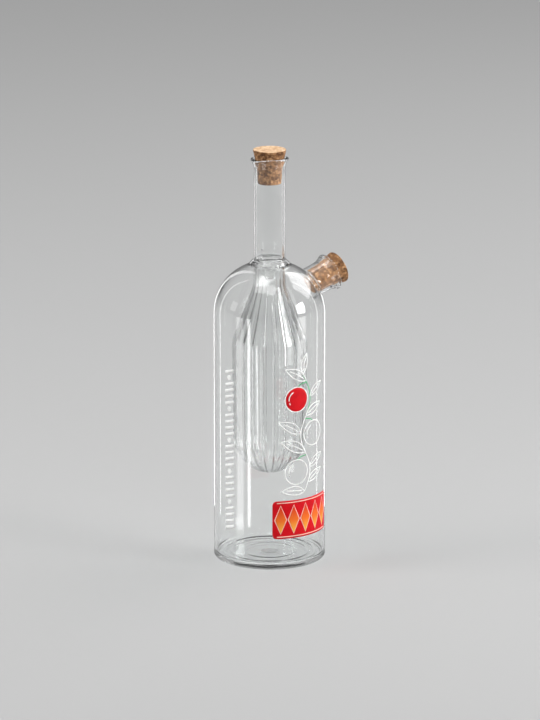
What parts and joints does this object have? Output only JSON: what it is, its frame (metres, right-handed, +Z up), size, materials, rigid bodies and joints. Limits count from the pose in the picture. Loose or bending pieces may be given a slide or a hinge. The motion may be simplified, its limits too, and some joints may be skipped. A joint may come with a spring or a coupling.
{
  "type": "oil and vinegar bottle",
  "caption": "Clear glass oil and vinegar bottle: a fluted inner vessel hangs from the neck inside an outer vessel with a side spout; corks close both mouths.",
  "frame": {"origin": "centre of the flat underside, on the bottle's axis", "axes": "+Z up along the bottle's axis, +X the way the side spout points"},
  "size_m": [0.0964, 0.075, 0.2794],
  "materials": {
    "clear_glass": "clear blown glass, glossy",
    "cork": "pressed cork granules, matte, with a smooth sanded end",
    "print_red": "printed enamel, satin",
    "print_yellow": "printed enamel, satin",
    "print_white": "printed enamel, satin",
    "print_green": "printed enamel, satin"
  },
  "bodies": {
    "root": {"glass_bottle": "clear_glass", "neck_cork": "cork", "spout_cork": "cork"}
  },
  "joints": []
}
